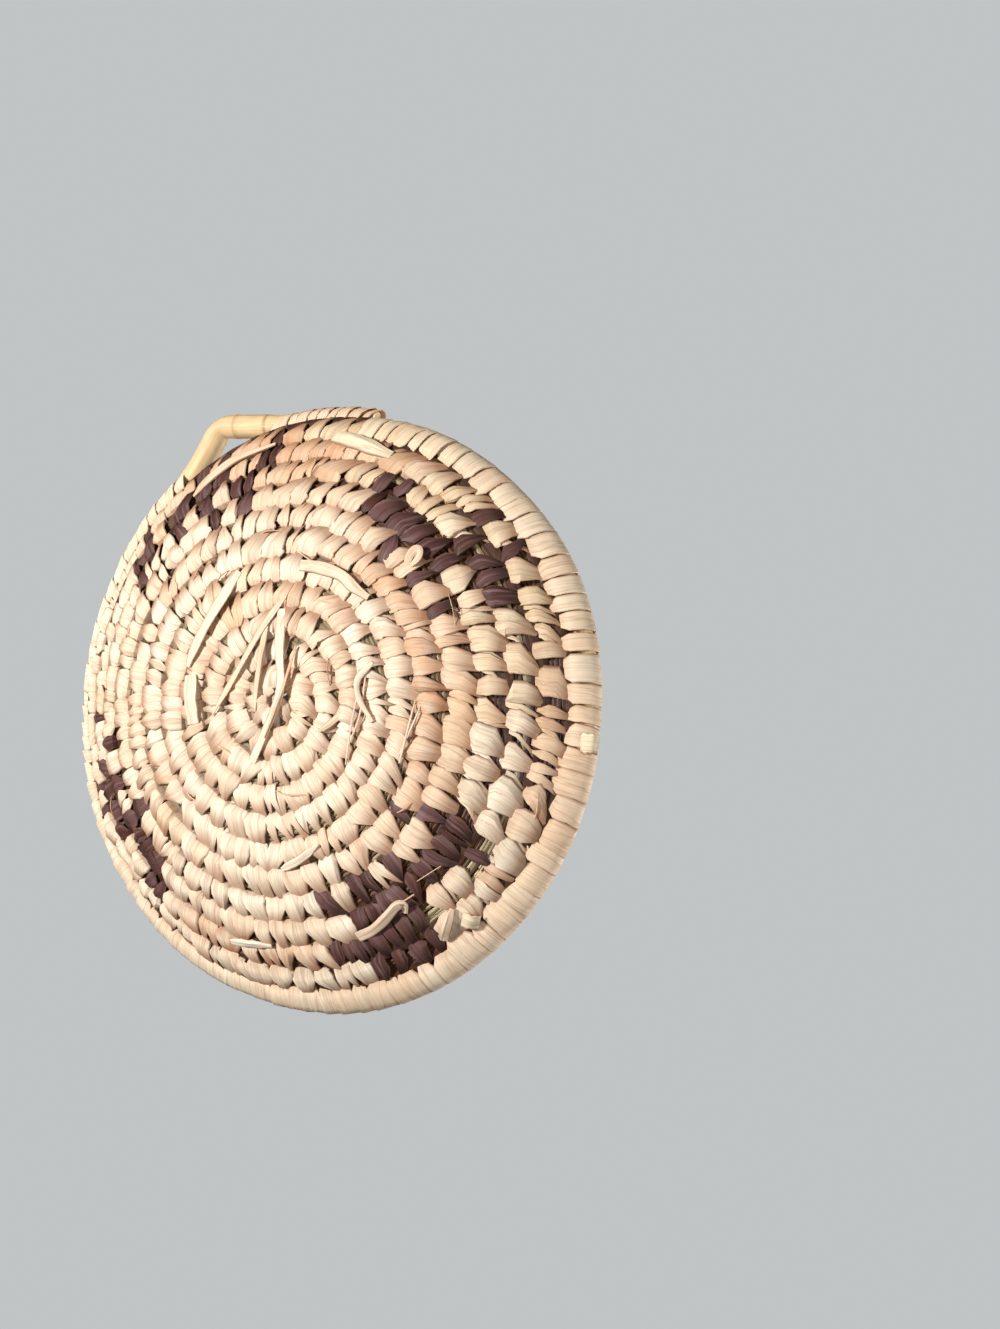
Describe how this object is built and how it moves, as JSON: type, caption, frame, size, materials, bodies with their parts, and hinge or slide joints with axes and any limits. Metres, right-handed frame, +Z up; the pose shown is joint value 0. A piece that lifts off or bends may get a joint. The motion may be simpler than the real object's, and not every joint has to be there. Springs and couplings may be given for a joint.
{
  "type": "coiled basket",
  "caption": "Shallow round coiled basket of sewn grass rows with dark diamond-like motifs, a cane rim and a small hanging loop bent out of the rim reed.",
  "frame": {"origin": "middle of the base, on the plane that the basket stands on", "axes": "+Z up through the open side, +Y through the crest side of the hanging loop, +X to the right seen from above"},
  "size_m": [0.1493, 0.1588, 0.0266],
  "materials": {
    "natural_leaf": "dry leaf splint, straw to tan, matt with fine grain along it",
    "dyed_leaf": "dry leaf splint dyed dark purple brown",
    "rim_leaf": "dry leaf splint, paler and yellower than the rest",
    "grass": "dry grass stems laid side by side",
    "cane": "smooth yellow cane with a light sheen"
  },
  "bodies": {
    "root": {"starting_knot": "natural_leaf", "foundation_bundle": "grass", "top_strand": "grass", "rim_reed": "cane", "natural_splint_01": "natural_leaf", "natural_splint_02": "natural_leaf", "natural_splint_03": "natural_leaf", "natural_splint_04": "natural_leaf", "natural_splint_05": "natural_leaf", "natural_splint_06": "natural_leaf", "natural_splint_07": "natural_leaf", "natural_splint_08": "natural_leaf", "natural_splint_09": "natural_leaf", "natural_splint_10": "natural_leaf", "natural_splint_11": "natural_leaf", "natural_splint_12": "natural_leaf", "natural_splint_13": "natural_leaf", "natural_splint_14": "natural_leaf", "natural_splint_15": "natural_leaf", "natural_splint_16": "natural_leaf", "natural_splint_17": "natural_leaf", "natural_splint_18": "natural_leaf", "natural_splint_19": "natural_leaf", "natural_splint_20": "natural_leaf", "natural_splint_21": "natural_leaf", "natural_splint_22": "natural_leaf", "natural_splint_23": "natural_leaf", "natural_splint_24": "natural_leaf", "dyed_splint_01": "dyed_leaf", "dyed_splint_02": "dyed_leaf", "dyed_splint_03": "dyed_leaf", "dyed_splint_04": "dyed_leaf", "dyed_splint_05": "dyed_leaf", "dyed_splint_06": "dyed_leaf", "dyed_splint_07": "dyed_leaf", "dyed_splint_08": "dyed_leaf", "dyed_splint_09": "dyed_leaf", "dyed_splint_10": "dyed_leaf", "dyed_splint_11": "dyed_leaf", "dyed_splint_12": "dyed_leaf", "dyed_splint_13": "dyed_leaf", "dyed_splint_14": "dyed_leaf", "dyed_splint_15": "dyed_leaf", "dyed_splint_16": "dyed_leaf", "rim_splint_01": "rim_leaf", "rim_splint_02": "rim_leaf", "rim_splint_03": "rim_leaf", "rim_splint_04": "rim_leaf", "rim_splint_05": "rim_leaf", "rim_splint_06": "rim_leaf", "rim_splint_07": "rim_leaf"}
  },
  "joints": []
}
